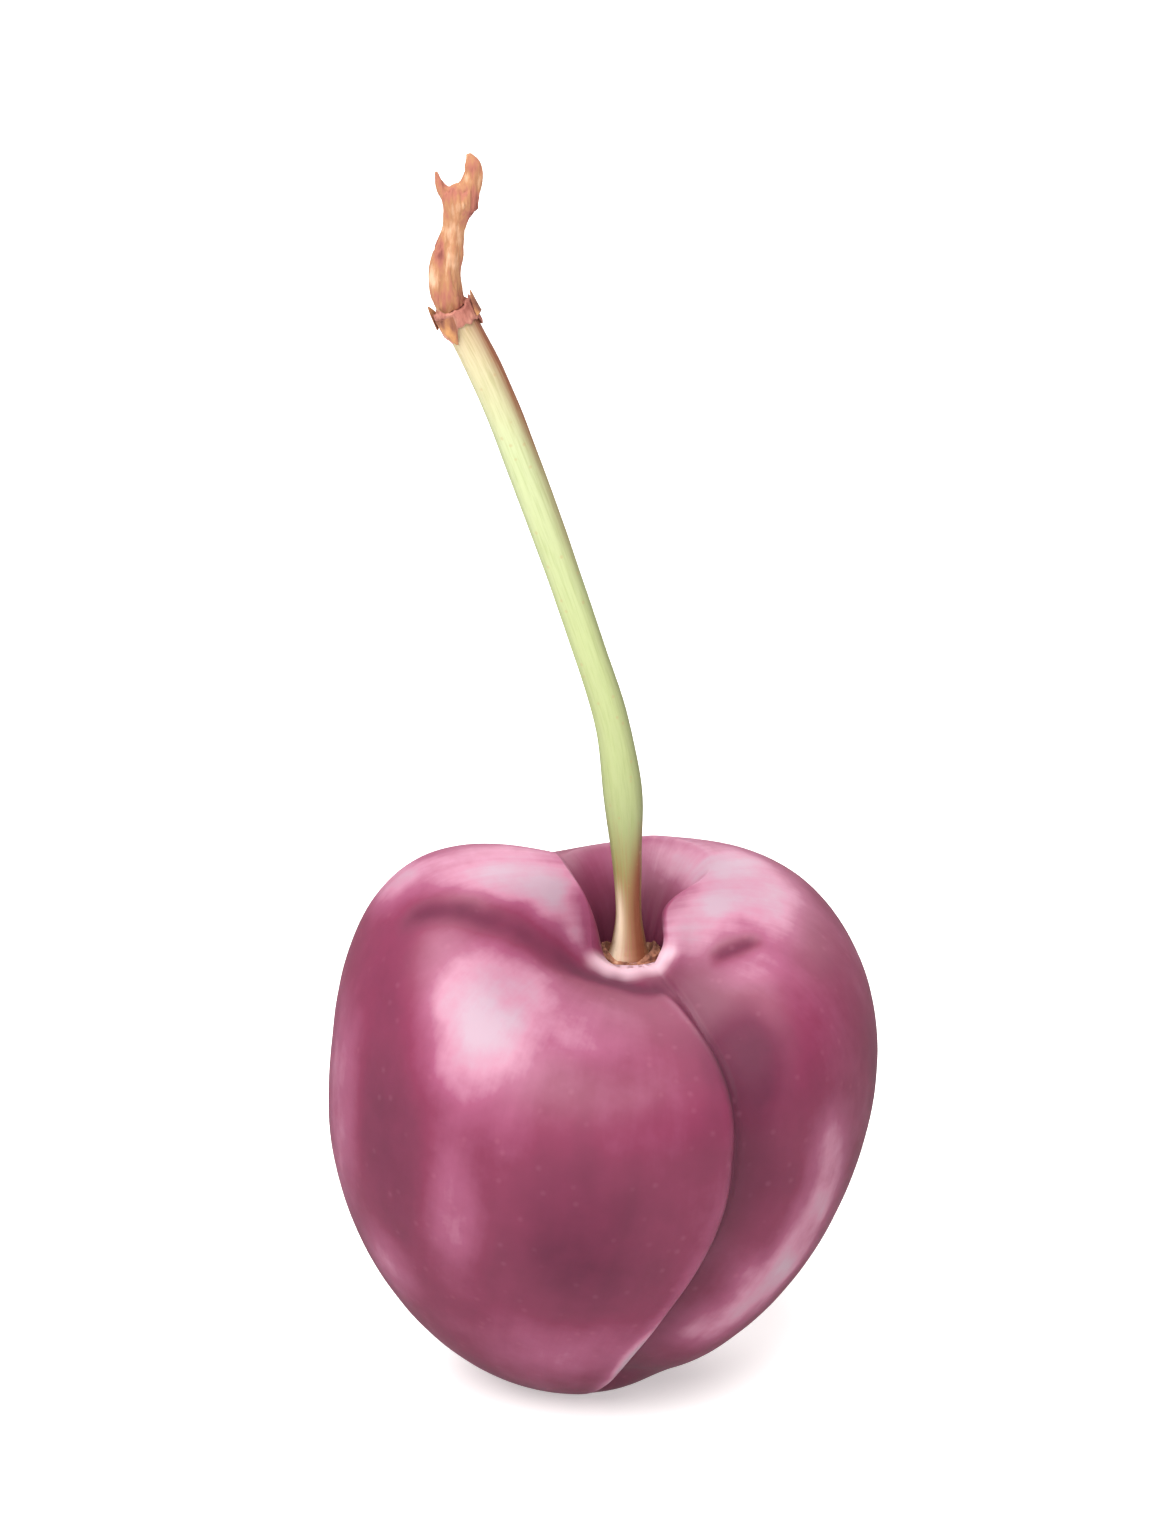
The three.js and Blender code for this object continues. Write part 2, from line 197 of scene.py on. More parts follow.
# Soft zones of painted light on the skin: painted highlights, painted reflections and painted shade. Each has
# a middle, the reach each way, and how much darker (painted shade) or, below 0, paler (painted highlight or
# reflection) it is there
paintedLightZones = [
    {"middle": (-4.0, -8.5, 21.6), "reach": (3.5, 6, 4.1), "dark": -0.9},
    {"middle": (-3.5, -1.6, 25.8), "reach": (5.2, 2.6, 1.8), "dark": -0.95},
    {"middle": (-0.6, -2.8, 24.2), "reach": (1.8, 1.5, 2.0), "dark": -0.5},
    {"middle": (0.5, -2.7, 23.0), "reach": (1.1, 1.0, 1.5), "dark": -0.55},
    {"middle": (-8.6, 0, 24.8), "reach": (2.0, 2.6, 1.6), "dark": -0.9},
    {"middle": (-0.2, -12.3, 11.6), "reach": (4.0, 6, 4.6), "dark": 0.6},
    {"middle": (-5.9, -11.2, 12.6), "reach": (1.4, 3, 4.8), "dark": -0.62},
    {"middle": (-8.9, -8.2, 15.0), "reach": (1.6, 4, 6.5), "dark": 0.45},
    {"middle": (-11.4, -4.8, 15.5), "reach": (1.3, 4, 6.0), "dark": -0.75},
    {"middle": (-9.0, -6.8, 8.2), "reach": (1.4, 3, 2.6), "dark": -0.7},
    {"middle": (-1.0, -5.8, 23.0), "reach": (1.8, 2, 1.4), "dark": -0.3},
    {"middle": (1.0, -8.5, 21.2), "reach": (2.6, 2.6, 1.8), "dark": -0.5},
    {"middle": (5.4, -1.0, 23.0), "reach": (2.8, 1.8, 1.9), "dark": -0.8},
    {"middle": (8.4, 1.6, 24.2), "reach": (3.6, 2.4, 1.6), "dark": -0.95},
    {"middle": (9.2, -1.0, 22.8), "reach": (1.7, 1.8, 1.3), "dark": -0.6},
    {"middle": (8.2, -3.4, 21.6), "reach": (1.8, 1.0, 1.6), "dark": -0.5},
    {"middle": (7.8, -8.0, 19.2), "reach": (2.2, 3, 3.2), "dark": 0.9},
    {"middle": (8.8, -8.6, 14.0), "reach": (1.5, 3, 5.0), "dark": 0.4},
    {"middle": (11.8, -5.0, 12.6), "reach": (1.0, 3.4, 3.6), "dark": -0.7},
    {"middle": (10.5, -6.2, 9.0), "reach": (1.4, 3.0, 3.0), "dark": -0.82},
    {"middle": (8.8, -7.2, 6.8), "reach": (1.9, 3.0, 2.4), "dark": -0.92},
    {"middle": (6.4, -7.4, 4.6), "reach": (2.0, 3.0, 2.0), "dark": -0.7},
    {"middle": (0.5, -8.6, 4.6), "reach": (5.5, 4, 2.2), "dark": -0.5},
    {"middle": (4.6, 4.0, 24.8), "reach": (3.6, 2.4, 1.6), "dark": -0.6},
]


def hermite(b, c, leave, arrive, w):
    bend = 3 * (c - b) - 2 * leave - arrive
    return b + leave * w + bend * w * w + (2 * (b - c) + leave + arrive) * w ** 3


def rimValues(turn):  # doesn't overshoot between two of the given places
    rim = fruit["rim"]
    turn %= 360
    i = max((k for k in range(len(rim)) if rim[k][0] <= turn), default=-1)
    places = []
    for k in range(i - 1, i + 3):
        lap, index = divmod(k, len(rim))
        places.append((rim[index][0] + 360 * lap, rim[index][1:]))
    turns, rows = zip(*places)
    span = turns[2] - turns[1]
    values = []
    for column in zip(*rows):
        slopes = [(column[k + 1] - column[k]) / (turns[k + 1] - turns[k]) for k in range(3)]
        leave, arrive = (2 * p * q / (p + q) if p * q > 0 else 0 for p, q in zip(slopes, slopes[1:]))
        values.append(hermite(column[1], column[2], leave * span, arrive * span, (turn - turns[1]) / span))
    return Vector(values)


# In a plan direction, the rim's radius and height, and the height that the shoulder bends towards
@lru_cache(maxsize=None)
def pitRim(plan):
    near = [rimValues(degrees(plan) + step * fruit["soften"]) for step in (-1, 0, 0, 1)]
    radius, rise, dome = sum(near, Vector()) / len(near)
    return radius, fruit["seatHeight"] + rise, fruit["seatHeight"] + dome


# Radius and height on the way up. path runs from -1 to 0 over the flat spot, and then over the belly, the
# shoulder, the wall of the pit and its seat.
def section(angle, path):
    f = fruit
    roundness = (f["lobeRadius"] - f["sutureRadius"]) / 2
    equator = (f["lobeRadius"] + f["sutureRadius"]) / 2 - roundness * cos(2 * angle)
    plan = radians(f["grooveAzimuth"]) + angle
    rim, crest, dome = pitRim(plan)
    crownRadius = mix(equator, rim, f["crown"])
    if path <= 0:
        return f["restRadius"] * (1 + path), 0
    if path <= 1:
        return (bezier(f["restRadius"], f["restRadius"] + f["flatness"], equator, equator, path),
                bezier(0, f["lift"], f["equatorHeight"] - f["fullness"], f["equatorHeight"], path))
    if path <= 2:
        full = f["shoulder"] - f["slope"] * cos(plan)
        return (bezier(equator, equator, crownRadius, rim, path - 1),
                bezier(f["equatorHeight"], mix(f["equatorHeight"], dome, full), dome, crest, path - 1))
    if path <= 3:  # the shoulder's slope at the rim goes on over it
        wall = crest - f["seatHeight"]
        drop = (dome - crest) / (crownRadius - rim) * f["wallTop"] * (rim - f["seatRadius"])
        topRadius = mix(rim, f["seatRadius"], f["wallTop"])
        top, foot = crest - min(drop, f["topDrop"] * wall), f["seatHeight"] + f["wallFoot"] * wall
        return (bezier(rim, topRadius, f["seatRadius"] + f["flare"], f["seatRadius"], path - 2),
                bezier(crest, top, foot, f["seatHeight"], path - 2))
    return f["seatRadius"] * (4 - path), f["seatHeight"]


def fruitPoint(angle, path):
    f = fruit
    r, z = section(angle, path)
    on = min(max(path, 0), 3)
    aside = r * sin(angle)  # distance from the plane of the groove
    width = f["steepSide"] if aside < 0 else f["gentleSide"]
    depth = f["grooveDepth"] * ease(on, *f["grooveStart"]) * (1 - ease(on, *f["grooveEnds"]))
    depth *= mix(f["footShare"], 1, ease(on, *f["grooveDeepens"]))
    depth *= mix(1, f["rimShare"], ease(on, *f["grooveShallows"]))
    groove = depth * ease(cos(angle), *f["grooveFacing"]) * bell(aside, width)
    waves = sin(3 * angle + 1.1 + 2 * on) + sin(2 * angle - 3 * on)
    pull = (groove - f["swell"] * waves * sin(on * pi / 3)) / hypot(r, z - f["heart"])
    azimuth = radians(f["grooveAzimuth"] + f["grooveSwing"] * (1 - ease(on, *f["swingEnds"]))) + angle
    centre = f["pitOffset"] * sin(on * pi / 6)
    reach = r * (1 - pull)
    return Vector((centre + reach * cos(azimuth), reach * sin(azimuth), z + (f["heart"] - z) * pull))


def foldAt(at):  # how deep the shallow folds are at a point, fading towards both ends of each
    depth = 0
    if at.z < lowestFold:
        return 0
    for fold in folds:
        line = [Vector(p) for p in fold["line"]]
        nearest, covered = [], 0
        for start, end in zip(line, line[1:]):
            step = end - start
            t = min(max((at.xy - start).dot(step) / step.length_squared, 0), 1)
            nearest.append(((start + step * t - at.xy).length, covered + t * step.length))
            covered += step.length
        gap, reached = min(nearest)
        ends = ease(reached, *fold["start"]) * ease(covered - reached, *fold["end"])
        depth += fold["depth"] * bell(gap, fold["width"]) * ends
    return depth


def rimSide(angle, path):  # how far a point lies inside the rim, and how much of a lip the rim has there
    r, z = section(angle, path)
    rim, crest, _ = pitRim(radians(fruit["grooveAzimuth"]) + angle)
    away = hypot(r - rim, z - crest)
    return away if path > 2 else -away, 1 - ease(crest - fruit["seatHeight"], *relief["lipRise"])


def skinRelief(angle, path, at):  # how far the skin stands out from the plain form
    f = relief
    aside = section(angle, path)[0] * sin(angle)
    front = ease(cos(angle), *f["facing"]) * ease(path, *f["start"]) * (1 - ease(path, *f["end"]))
    past, low = rimSide(angle, path)
    lip = low * ridge(past, *f["lip"]) * (1 + uneven(at, *f["lipUneven"]))
    pleated = ease(path, *f["pleatStart"]) * (1 - ease(path, *f["pleatEnd"]))
    pleats = f["pleats"] * pleated * sin(f["pleatCount"] * angle + 2 * sin(3 * angle))
    free = ease(path, *f["free"]) * (1 - ease(path, *f["held"])) * (1 - (1 - low) * ridge(path, *f["sharp"]))
    waves = (uneven(at, *f["slow"]) + uneven(at, *f["fine"]) - f["inset"]) * free
    return front * (ridge(aside, *f["seam"]) + ridge(aside, *f["edge"])) + lip + pleats + waves - foldAt(at)


def paintedLightAt(at):  # the zones of painted highlights, reflections and shade have mottled, uneven edges
    mottle = 1 + uneven(at, *tone["mottle"]) + uneven(at, *tone["fineMottle"])
    shade = 0
    for zone in paintedLightZones:
        steps = zip(at, zone["middle"], zone["reach"])
        away = sum(((here - middle) / reach) ** 2 for here, middle, reach in steps)
        shade += zone["dark"] * exp(-(away * mottle) ** tone["zoneEdge"])
    return shade


def makeFruit(material):
    f = fruit
    total = sum(f["rows"])

    @lru_cache(maxsize=None)
    def pathAt(along):
        row = round(along * total)
        for stretch, count in enumerate(f["rows"]):
            if row <= count:
                return stretch - 1 + row / count
            row -= count

    def drawn(angle):
        return angle - f["crowding"] * sin(angle)

    def place(angle, along):
        return fruitPoint(drawn(angle), pathAt(along))

    bm, angleLayer, alongLayer = rollGrid(f["columns"], total, place)
    flow = bm.verts.layers.float_vector.new("flow")
    groove, cavity, pale, scar, dark = (bm.verts.layers.float.new(name)
                                        for name in ("groove", "cavity", "pale", "scar", "dark"))
    for v in bm.verts:
        angle, path = drawn(v[angleLayer]), pathAt(v[alongLayer])
        r = section(angle, path)[0]
        aside = r * sin(angle)
        v[flow] = (cos(angle), sin(angle), path)
        front = ease(cos(angle), *f["grooveFacing"])
        front *= ease(path, *tone["start"]) * (1 - ease(path, *tone["end"]))
        # painted shade along the groove
        v[groove] = front * bell(aside, tone["steepSide"] if aside < 0 else tone["gentleSide"])
        past, low = rimSide(angle, path)
        # painted shade inside the pit
        v[cavity] = ease(path, *tone["pit"]) * (1 - low)
        # painted highlight on the lip's edge
        v[pale] = low * ease(past + uneven(v.co, *tone["lipUneven"]), *tone["lip"])
        v[scar] = ease(r, *tone["scar"]) if path < 0 else 0
        # The near lobe's edge is paler: partly a real paler suture line, partly a painted highlight on its
        # ridge
        edge = front * ridge(aside, mix(*tone["edgePale"], ease(path, *tone["edgeSpan"])), *tone["edge"])
        # Painted highlights, reflections and shade from the zones, and painted shade in the folds
        v[dark] = paintedLightAt(v.co) + tone["foldShade"] * foldAt(v.co) - edge
        if path >= 0:
            v.co += v.normal * skinRelief(angle, path, v.co.copy())
        else:  # the blossom scar is a small dry dimple in the flat spot
            v.co.z += relief["scar"] * ease(r, *relief["scarEdge"])
    finishPiece(bm, "cherry_fruit", material, "cherry_skin", "fruit")


def cherrySkin():
    # Ripe cherry skin: pigment under a thin clear wax. The wax gives soft broad highlights, and the pigment
    # gives clouds and streaks, with painted highlights, painted reflections and painted shade laid into it.
    material, shader = startMaterial("waxy cherry skin", {
        "IOR": 1.45, "Coat Weight": 0.1, "Coat Roughness": 0.4, "Coat IOR": 1.5,
        "Subsurface Weight": 0.1, "Subsurface Radius": (1.0, 0.3, 0.25), "Subsurface Scale": 1.2 * mm,
    })
    place = addNode(material, "ShaderNodeTexCoord")
    flow = addNode(material, "ShaderNodeAttribute", {"attribute_name": "flow"})
    stretch = addNode(material, "ShaderNodeMapping", {"Scale": (6, 6, 0.9)},
                      {"Vector": flow.outputs["Vector"]})
    streaks = addNode(material, "ShaderNodeTexNoise", {"Scale": 1.6, "Detail": 5, "Roughness": 0.6},
                      {"Vector": stretch.outputs["Vector"]})
    clouds = addNode(material, "ShaderNodeTexNoise", {"Scale": perMetre(6), "Detail": 5, "Roughness": 0.62},
                     {"Vector": place.outputs["Object"]})
    # The pigment's depth: streaks from the pit to the tip, slow clouds, and the painted highlights,
    # reflections and shade of the zones and folds
    dark = addNode(material, "ShaderNodeAttribute", {"attribute_name": "dark"})
    streaked = addNode(material, "ShaderNodeMath", {"operation": "MULTIPLY_ADD", 1: 0.16, 2: 0.12},
                       {0: streaks.outputs["Fac"]})
    clouded = addNode(material, "ShaderNodeMath", {"operation": "MULTIPLY_ADD", 1: 0.5},
                      {0: clouds.outputs["Fac"], 2: streaked.outputs[0]})
    depth = addNode(material, "ShaderNodeMath", {"operation": "MULTIPLY_ADD", 1: 0.4},
                    {0: dark.outputs["Fac"], 2: clouded.outputs[0]})
    pigment = addNode(material, "ShaderNodeValToRGB",
                      {"stops": [(0.02, "#9b7f8d"), (0.13, "#a0677e"), (0.24, "#863e5d"), (0.45, "#702041"),
                                 (0.8, "#50142f")]},
                      {"Fac": depth.outputs[0]})
    # Painted shade: the skin is darkened along the groove's valley
    groove = addNode(material, "ShaderNodeAttribute", {"attribute_name": "groove"})
    grooveShadeShare = addNode(material, "ShaderNodeMath", {"operation": "MULTIPLY", 1: 0.6},
                          {0: groove.outputs["Fac"]})
    shaded = addNode(material, "ShaderNodeMix", {"data_type": "RGBA", 7: hexColor("#4f122d")},
                     {0: grooveShadeShare.outputs[0], 6: pigment.outputs["Color"]})
    # Painted shade: the skin inside the pit is darkened
    cavity = addNode(material, "ShaderNodeAttribute", {"attribute_name": "cavity"})
    pitShadeShare = addNode(material, "ShaderNodeMath", {"operation": "MULTIPLY", 1: 0.75},
                          {0: cavity.outputs["Fac"]})
    pitShaded = addNode(material, "ShaderNodeMix", {"data_type": "RGBA", 7: hexColor("#581a33")},
                   {0: pitShadeShare.outputs[0], 6: shaded.outputs[2]})
    # Painted highlight: the lip's thin edge is painted pale where it catches the light
    pale = addNode(material, "ShaderNodeAttribute", {"attribute_name": "pale"})
    lipHighlightShare = addNode(material, "ShaderNodeMath", {"operation": "MULTIPLY", 1: 0.75},
                        {0: pale.outputs["Fac"]})
    lipHighlighted = addNode(material, "ShaderNodeMix", {"data_type": "RGBA", 7: hexColor("#c9a9b3")},
                        {0: lipHighlightShare.outputs[0], 6: pitShaded.outputs[2]})
    # Lenticels: faint pale pores about 1.1 mm apart
    pores = addNode(material, "ShaderNodeTexVoronoi", {"Scale": perMetre(1.1)},
                    {"Vector": place.outputs["Object"]})
    poreShare = addNode(material, "ShaderNodeMapRange", {1: 0.04, 2: 0.18, 3: 0.07, 4: 0},
                        {0: pores.outputs["Distance"]})
    dotted = addNode(material, "ShaderNodeMix", {"data_type": "RGBA", 7: hexColor("#b9788c")},
                     {0: poreShare.outputs[0], 6: lipHighlighted.outputs[2]})
    scar = addNode(material, "ShaderNodeAttribute", {"attribute_name": "scar"})
    scarred = addNode(material, "ShaderNodeMix", {"data_type": "RGBA", 7: hexColor("#7d5a45")},
                      {0: scar.outputs["Fac"], 6: dotted.outputs[2]})
    # It is less rubbed, and so duller, inside the pit and where the skin is sunk and dark
    bloom = addNode(material, "ShaderNodeMapRange", {1: 0.3, 2: 0.7, 3: 0.46, 4: 0.56},
                    {0: clouds.outputs["Fac"]})
    sunk = addNode(material, "ShaderNodeMapRange", {1: 0, 2: 0.6, 3: 0, 4: 0.4}, {0: dark.outputs["Fac"]})
    duller = addNode(material, "ShaderNodeMath", {"operation": "MULTIPLY_ADD", 1: 0.2},
                     {0: cavity.outputs["Fac"], 2: bloom.outputs[0]})
    dull = addNode(material, "ShaderNodeMath", {"operation": "ADD"},
                   {0: duller.outputs[0], 1: sunk.outputs[0]})
    peel = addNode(material, "ShaderNodeTexNoise", {"Scale": perMetre(0.7), "Detail": 2},
                   {"Vector": place.outputs["Object"]})
    bump = addNode(material, "ShaderNodeBump", {"Strength": 0.25, "Distance": 0.02 * mm},
                   {"Height": peel.outputs["Fac"]})
    wire = material.node_tree.links.new
    wire(scarred.outputs[2], shader.inputs["Base Color"])
    wire(dull.outputs[0], shader.inputs["Roughness"])
    wire(bump.outputs["Normal"], shader.inputs["Normal"])
    return material


makeFruit(cherrySkin())


# Curves and frames that the stem and its broken end share. A station is x, y and z from the middle of the
# seat, and the radius.
seat = Vector((fruit["pitOffset"], 0, fruit["seatHeight"]))


def curvePoint(points, t):  # a curve through points that doesn't overshoot where they lie close together
    last = len(points) - 1
    i = min(int(t * last), last - 1)
    b, c = points[i], points[i + 1]
    a = points[i - 1] if i else 2 * b - c
    d = points[i + 2] if i + 2 <= last else 2 * c - b
    before, between, after = ((q - p).length ** 0.5 for p, q in ((a, b), (b, c), (c, d)))
    leave = (b - a) / before - (c - a) / (before + between) + (c - b) / between
    arrive = (c - b) / between - (d - b) / (between + after) + (d - c) / after
    return hermite(b, c, leave * between, arrive * between, t * last - i)


def smoothValue(values, t):
    last = len(values) - 1
    i = min(int(t * last), last - 1)
    a, b, c, d = (values[min(max(i + k, 0), last)] for k in (-1, 0, 1, 2))
    return hermite(b, c, (c - a) / 2, (d - b) / 2, t * last - i)


def polarFrame(centre, along):  # angle 0 is on the stem's right, and a quarter turn is at its back
    across = Vector((0, 1, 0)).cross(along).normalized()
    back = along.cross(across)

    def place(radius, angle, height):
        return centre + across * (radius * cos(angle)) + back * (radius * sin(angle)) + along * height

    return place


def makeLine(stations, start=None):  # gives the frame and the radius at a share of the stations
    points = [seat + Vector(station[:3]) for station in stations]
    radii = [station[3] for station in stations]

    @lru_cache(maxsize=None)
    def at(t):
        heading = curvePoint(points, min(t + 1e-3, 1)) - curvePoint(points, max(t - 1e-3, 0))
        along = start if start and t < 1e-6 else heading.normalized()
        return polarFrame(curvePoint(points, t), along), smoothValue(radii, t)

    return at


# The stem. It is ribbed and satin, brown at the foot, green in the middle and cream under the dry end.
stem = {
    "stations": [(0, 0, 0, 1.0), (0, 0, 0.6, 0.84), (-0.02, 0.02, 2.2, 0.64), (-0.12, 0.12, 5, 0.74),
                 (-0.3, 0.32, 8, 0.96), (-0.8, 0.7, 11.4, 0.84), (-2.3, 1.3, 16.3, 0.8),
                 (-4.5, 1.8, 22.8, 0.86), (-6.45, 2.1, 28, 0.86), (-8.15, 2.3, 31.5, 0.84)],
    "columns": 72, "rows": 360,
    "rib": 0.028, "wave": 0.035, "waveGrain": 0.9,  # depth of the fine ribs and of the slow unevenness
    "twist": 0.9, "foot": (0, 0.06),  # it twists a little, and stands on the seat by a round foot
    "fullHeight": 32,
}

# Lengthwise streaks of the stem's colour, with painted shade down its sides and a painted highlight on its
# foot: a turn and a half-width, and the heights over which they come or go
streaks = {
    "brownTurn": (-0.85, -0.25), "brownTurns": (2, 8), "brownWidth": 0.3,  # comes forward at the foot
    "brownFoot": (4, 8), "brownMiddle": 0.12, "brownUpper": (16, 22), "upperShare": 0.4, "brownTop": (20, 28),
    "paintedFootHighlight": (3.9, 0.24), "footHighlightEnd": (2, 4.5),  # a painted highlight on the left side of the foot
    # painted shade: a deeper green down the right and left sides
    "right": (-0.05, 0.26), "left": (3.3, 0.2), "leftShadeShare": 0.6, "sideShadeStart": (3, 7), "sideShadeEnd": (26, 31),
}
stemLine = makeLine(stem["stations"], Vector((0, 0, 1)))


def stemPoint(angle, along):
    place, radius = stemLine(along)
    twist = angle + stem["twist"] * along
    ribs = 0.5 + 0.3 * cos(7 * twist) + 0.2 * cos(11 * twist + 5 * along)
    at = place(radius, angle, 0)
    waves = 0.5 + uneven(Vector((at.x, at.y, at.z / 3)), 0.5, stem["waveGrain"])
    inward = ease(along, *stem["foot"]) * (stem["rib"] * ribs + stem["wave"] * waves)
    return place(radius - inward, angle, 0)


def streakAt(angle, turn, width):
    return bell(sin((angle - turn) / 2), width)


def makeStem(material):
    bm, angleLayer, _ = rollGrid(stem["columns"], stem["rows"], stemPoint)
    flow = bm.verts.layers.float_vector.new("flow")
    rise, streak, cream, side = (bm.verts.layers.float.new(name)
                                 for name in ("rise", "streak", "cream", "side"))
    f = streaks
    for v in bm.verts:
        angle, height = v[angleLayer], v.co.z - seat.z
        v[flow] = (cos(angle), sin(angle), height)
        v[rise] = height / stem["fullHeight"]
        turn = mix(*f["brownTurn"], ease(height, *f["brownTurns"]))
        brown = max(ease(height, *f["brownTop"]), f["upperShare"] * ease(height, *f["brownUpper"]),
                    1 - ease(height, *f["brownFoot"]), f["brownMiddle"])
        v[streak] = streakAt(angle, turn, f["brownWidth"]) * brown
        # painted highlight on the left of the foot
        v[cream] = streakAt(angle, *f["paintedFootHighlight"]) * (1 - ease(height, *f["footHighlightEnd"]))
        # painted shade down both sides
        sides = streakAt(angle, *f["right"]) + f["leftShadeShare"] * streakAt(angle, *f["left"])
        v[side] = sides * ease(height, *f["sideShadeStart"]) * (1 - ease(height, *f["sideShadeEnd"]))
    finishPiece(bm, "cherry_stem", material, "green_stem", "stem")


def greenStem():
    # A fresh cherry stem: green bark in fine lengthwise ribs, with a dull natural sheen, brown on one side,
    # with painted shade down both sides and a painted highlight on the left of its foot.
    material, shader = startMaterial("fresh green stem bark", {"IOR": 1.42, "Subsurface Weight": 0.08,
                                                               "Subsurface Radius": (0.6, 0.7, 0.25),
                                                               "Subsurface Scale": 0.5 * mm})
    place = addNode(material, "ShaderNodeTexCoord")
    rise = addNode(material, "ShaderNodeAttribute", {"attribute_name": "rise"})
    flow = addNode(material, "ShaderNodeAttribute", {"attribute_name": "flow"})
    along = addNode(material, "ShaderNodeMapping", {"Scale": (3.2, 3.2, 0.22)},
                    {"Vector": flow.outputs["Vector"]})
    fibres = addNode(material, "ShaderNodeTexNoise", {"Scale": 2.2, "Detail": 5, "Roughness": 0.65},
                     {"Vector": along.outputs["Vector"]})
    wander = addNode(material, "ShaderNodeMath", {"operation": "MULTIPLY_ADD", 1: 0.14, 2: -0.07},
                     {0: fibres.outputs["Fac"]})
    level = addNode(material, "ShaderNodeMath", {"operation": "ADD"},
                    {0: rise.outputs["Fac"], 1: wander.outputs[0]})
    ripe = addNode(material, "ShaderNodeValToRGB", {"stops": [
        (0.0, "#9a6650"), (0.05, "#94694a"), (0.1, "#907348"), (0.15, "#8e8656"), (0.22, "#97a06e"),
        (0.5, "#a6af7c"), (0.78, "#b0b88c"), (0.9, "#b9b08c"), (1.0, "#b39476")]}, {"Fac": level.outputs[0]})
    fibreShare = addNode(material, "ShaderNodeMapRange", {1: 0.45, 2: 0.75, 3: 0, 4: 0.5},
                         {0: fibres.outputs["Fac"]})
    lined = addNode(material, "ShaderNodeMix", {"data_type": "RGBA", 7: hexColor("#7e8c4c")},
                    {0: fibreShare.outputs[0], 6: ripe.outputs["Color"]})
    # Painted shade: both sides are painted a deeper green than the front
    side = addNode(material, "ShaderNodeAttribute", {"attribute_name": "side"})
    sideShadeShare = addNode(material, "ShaderNodeMath", {"operation": "MULTIPLY", 1: 0.7},
                        {0: side.outputs["Fac"]})
    sidesShaded = addNode(material, "ShaderNodeMix", {"data_type": "RGBA", 7: hexColor("#66744a")},
                    {0: sideShadeShare.outputs[0], 6: lined.outputs[2]})
    streak = addNode(material, "ShaderNodeAttribute", {"attribute_name": "streak"})
    torn = addNode(material, "ShaderNodeMath", {"operation": "MULTIPLY_ADD", 1: 0.9, 2: 0.55},
                   {0: fibres.outputs["Fac"]})
    brownShare = addNode(material, "ShaderNodeMath", {"operation": "MULTIPLY", "use_clamp": True},
                         {0: streak.outputs["Fac"], 1: torn.outputs[0]})
    browned = addNode(material, "ShaderNodeMix", {"data_type": "RGBA", 7: hexColor("#7c442c")},
                      {0: brownShare.outputs[0], 6: sidesShaded.outputs[2]})
    # Painted highlight: the left side of the foot is painted a pale cream
    cream = addNode(material, "ShaderNodeAttribute", {"attribute_name": "cream"})
    footHighlightShare = addNode(material, "ShaderNodeMath", {"operation": "MULTIPLY", "use_clamp": True},
                          {0: cream.outputs["Fac"], 1: torn.outputs[0]})
    paintedFootHighlight = addNode(material, "ShaderNodeMix", {"data_type": "RGBA", 7: hexColor("#dcc6ac")},
                     {0: footHighlightShare.outputs[0], 6: browned.outputs[2]})
    # Pores: small corky dots about 0.7 mm apart
    pores = addNode(material, "ShaderNodeTexVoronoi", {"Scale": perMetre(0.7)},
                    {"Vector": place.outputs["Object"]})
    poreShare = addNode(material, "ShaderNodeMapRange", {1: 0.08, 2: 0.16, 3: 0.35, 4: 0},
                        {0: pores.outputs["Distance"]})
    dotted = addNode(material, "ShaderNodeMix", {"data_type": "RGBA", 7: hexColor("#a8835a")},
                     {0: poreShare.outputs[0], 6: paintedFootHighlight.outputs[2]})
    sheen = addNode(material, "ShaderNodeMapRange", {1: 0.3, 2: 0.7, 3: 0.42, 4: 0.62},
                    {0: fibres.outputs["Fac"]})
    bump = addNode(material, "ShaderNodeBump", {"Strength": 0.5, "Distance": 0.03 * mm},
                   {"Height": fibres.outputs["Fac"]})
    wire = material.node_tree.links.new
    wire(dotted.outputs[2], shader.inputs["Base Color"])
    wire(sheen.outputs[0], shader.inputs["Roughness"])
    wire(bump.outputs["Normal"], shader.inputs["Normal"])
    return material


makeStem(greenStem())


# The ring of dry cork round the stem's foot: a low crumbling wall that is highest at both sides
footCork = {
    "inner": 1.06, "outer": 1.4, "outerSwing": 0.16, "slant": 0.04, "topInset": 0.12,
    "top": 0.36, "topSwing": 0.26, "topWave": 0.04,
    "crumble": 0.07, "crumbGrain": 0.16, "crumbStart": (0, 0.15), "sideShadeShare": 0.6,
    "columns": 180, "rows": 48,
}


def corkPoint(angle, along):
    c = footCork
    top = c["top"] + c["topSwing"] * cos(2 * angle) + c["topWave"] * sin(7 * angle + 1)
    outer = c["outer"] + c["outerSwing"] * cos(2 * angle)
    corners = [(c["inner"], 0), (outer, 0), (outer - c["slant"], 0.6 * top),
               (c["inner"] + c["topInset"], top), (c["inner"], 0)]
    sides = len(corners) - 1
    side = min(int(along * sides), sides - 1)
    (r0, z0), (r1, z1) = corners[side], corners[side + 1]
    radius, height = mix(r0, r1, along * sides - side), mix(z0, z1, along * sides - side)
    place = polarFrame(seat, Vector((0, 0, 1)))
    at = place(radius, angle, height)
    crumb = c["crumble"] * (0.5 + uneven(at, 1, c["crumbGrain"])) * ease(height, *c["crumbStart"])
    return place(radius - c["sideShadeShare"] * crumb, angle, max(height - crumb, 0))


def makeFootCork(material):
    bm = rollGrid(footCork["columns"], footCork["rows"], corkPoint)[0]
    finishPiece(bm, "foot_cork", material, "dry_scale", "stem_foot_ring")


